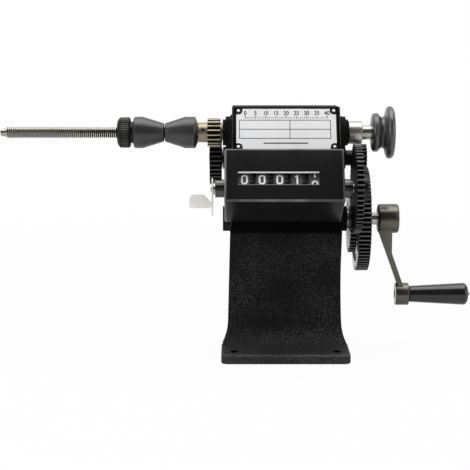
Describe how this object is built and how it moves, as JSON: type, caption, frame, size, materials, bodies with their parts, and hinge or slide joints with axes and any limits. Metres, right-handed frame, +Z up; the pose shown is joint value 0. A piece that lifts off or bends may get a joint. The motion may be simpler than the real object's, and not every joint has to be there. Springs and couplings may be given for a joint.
{
  "type": "spool winder",
  "caption": "Hand-cranked spool winder: a geared crank turns a long threaded spindle with clamping cones, and drives a drum counter with a reset lever.",
  "frame": {"origin": "centre of the base's bottom face", "axes": "+X along the winding spindle towards the crank, +Y away from the person at the counter, +Z up"},
  "size_m": [0.3338, 0.1189, 0.1758],
  "materials": {
    "cast_black": "black wrinkle enamel on a casting",
    "case_black": "satin black enamel",
    "plate_white": "satin plate with fine black rules",
    "bright_steel": "bright turned steel",
    "dark_steel": "dark oxide",
    "gear_black": "black oxide with worn tooth lands",
    "olive_steel": "satin grey plated steel",
    "pinion_zinc": "warm zinc plating",
    "nickel": "nickel plating",
    "bronze": "sintered bronze",
    "cone_dark": "dark grey turned phenolic",
    "drum_black": "black with white figures",
    "grip_black": "glossy black"
  },
  "bodies": {
    "stand": {"casting": "cast_black", "nameplate": "plate_white", "nameplate_rivet_1": "bright_steel", "nameplate_rivet_2": "bright_steel", "nameplate_rivet_3": "bright_steel", "nameplate_rivet_4": "bright_steel", "counter_case": "case_black", "counter_back": "case_black", "counter_screw_left": "dark_steel", "counter_screw_right": "dark_steel", "spindle_bush_left": "bronze", "spindle_bush_right": "bronze", "crank_bush_left": "bronze", "crank_bush_right": "bronze", "layshaft_bush_left": "bronze", "layshaft_bush_right": "bronze", "counter_bush_left": "dark_steel", "counter_bush_right": "dark_steel", "transfer_shaft": "bright_steel"},
    "crank": {"crank_shaft": "bright_steel", "crank_gear": "gear_black", "counter_drive_gear": "gear_black", "crank_spacer": "bright_steel", "crank_stop_ring": "dark_steel", "crank_arm": "olive_steel", "grip_pin": "bright_steel"},
    "grip": {"grip": "grip_black"},
    "layshaft": {"layshaft": "bright_steel", "layshaft_pinion": "gear_black", "layshaft_gear": "gear_black"},
    "spindle": {"spindle": "bright_steel", "spindle_pinion": "pinion_zinc", "pinion_set_screw": "dark_steel", "inner_cone": "cone_dark", "spindle_collar": "olive_steel", "pulley": "cone_dark"},
    "outer_cone": {"outer_cone": "cone_dark"},
    "clamp_nut": {"clamp_nut": "dark_steel"},
    "counter_input": {"counter_gear": "gear_black", "counter_sleeve": "bright_steel", "drum_units": "drum_black"},
    "tens_drum": {"drum_tens": "drum_black"},
    "hundreds_drum": {"drum_hundreds": "drum_black"},
    "thousands_drum": {"drum_thousands": "drum_black"},
    "ten_thousands_drum": {"drum_ten_thousands": "drum_black"},
    "transfer_1": {"transfer_pinion_1": "nickel"},
    "transfer_2": {"transfer_pinion_2": "nickel"},
    "transfer_3": {"transfer_pinion_3": "nickel"},
    "transfer_4": {"transfer_pinion_4": "nickel"},
    "reset": {"reset_lever": "nickel", "reset_shaft": "bright_steel"}
  },
  "joints": [
    {"name": "crank_turn", "type": "hinge", "parent": "stand", "child": "crank", "pos_m": [0, 0, 0.0953], "axis": [1, 0, 0], "continuous": true},
    {"name": "grip_spin", "type": "hinge", "parent": "crank", "child": "grip", "pos_m": [0.0893, 0, 0.0403], "axis": [1, 0, 0], "continuous": true},
    {"name": "layshaft_turn", "type": "hinge", "parent": "stand", "child": "layshaft", "pos_m": [0, 0.01751, 0.13675], "axis": [1, 0, 0], "continuous": true},
    {"name": "spindle_turn", "type": "hinge", "parent": "stand", "child": "spindle", "pos_m": [0, -0.00056, 0.15682], "axis": [1, 0, 0], "continuous": true},
    {"name": "clamp_slide", "type": "slide", "parent": "spindle", "child": "outer_cone", "axis": [-1, 0, 0], "range_m": [0, 0.08]},
    {"name": "nut_turn", "type": "hinge", "parent": "outer_cone", "child": "clamp_nut", "pos_m": [-0.1069, -0.00056, 0.15682], "axis": [1, 0, 0], "range_deg": [0, 20410.45]},
    {"name": "counter_turn", "type": "hinge", "parent": "stand", "child": "counter_input", "pos_m": [0, -0.04398, 0.123], "axis": [1, 0, 0], "continuous": true},
    {"name": "tens_turn", "type": "hinge", "parent": "stand", "child": "tens_drum", "pos_m": [0, -0.04398, 0.123], "axis": [1, 0, 0], "continuous": true},
    {"name": "hundreds_turn", "type": "hinge", "parent": "stand", "child": "hundreds_drum", "pos_m": [0, -0.04398, 0.123], "axis": [1, 0, 0], "continuous": true},
    {"name": "thousands_turn", "type": "hinge", "parent": "stand", "child": "thousands_drum", "pos_m": [0, -0.04398, 0.123], "axis": [1, 0, 0], "continuous": true},
    {"name": "ten_thousands_turn", "type": "hinge", "parent": "stand", "child": "ten_thousands_drum", "pos_m": [0, -0.04398, 0.123], "axis": [1, 0, 0], "continuous": true},
    {"name": "transfer_1_turn", "type": "hinge", "parent": "stand", "child": "transfer_1", "pos_m": [0, -0.02735, 0.12745], "axis": [1, 0, 0], "continuous": true},
    {"name": "transfer_2_turn", "type": "hinge", "parent": "stand", "child": "transfer_2", "pos_m": [0, -0.02735, 0.12745], "axis": [1, 0, 0], "continuous": true},
    {"name": "transfer_3_turn", "type": "hinge", "parent": "stand", "child": "transfer_3", "pos_m": [0, -0.02735, 0.12745], "axis": [1, 0, 0], "continuous": true},
    {"name": "transfer_4_turn", "type": "hinge", "parent": "stand", "child": "transfer_4", "pos_m": [0, -0.02735, 0.12745], "axis": [1, 0, 0], "continuous": true},
    {"name": "reset_turn", "type": "hinge", "parent": "stand", "child": "reset", "pos_m": [0, -0.04398, 0.123], "axis": [1, 0, 0], "range_deg": [0, 360]}
  ],
  "couplings": [
    {"joint": "layshaft_turn", "follows": "crank_turn", "ratio": -4},
    {"joint": "spindle_turn", "follows": "crank_turn", "ratio": 8},
    {"joint": "counter_turn", "follows": "crank_turn", "ratio": -0.8},
    {"joint": "tens_turn", "follows": "crank_turn", "ratio": -0.08},
    {"joint": "hundreds_turn", "follows": "crank_turn", "ratio": -0.008},
    {"joint": "thousands_turn", "follows": "crank_turn", "ratio": -0.0008},
    {"joint": "ten_thousands_turn", "follows": "crank_turn", "ratio": -0.00008},
    {"joint": "transfer_4_turn", "follows": "crank_turn", "ratio": 0.2},
    {"joint": "transfer_3_turn", "follows": "crank_turn", "ratio": 0.02},
    {"joint": "transfer_2_turn", "follows": "crank_turn", "ratio": 0.002},
    {"joint": "transfer_1_turn", "follows": "crank_turn", "ratio": 0.0002},
    {"joint": "nut_turn", "follows": "clamp_slide", "rad_per_m": 4452.7}
  ]
}
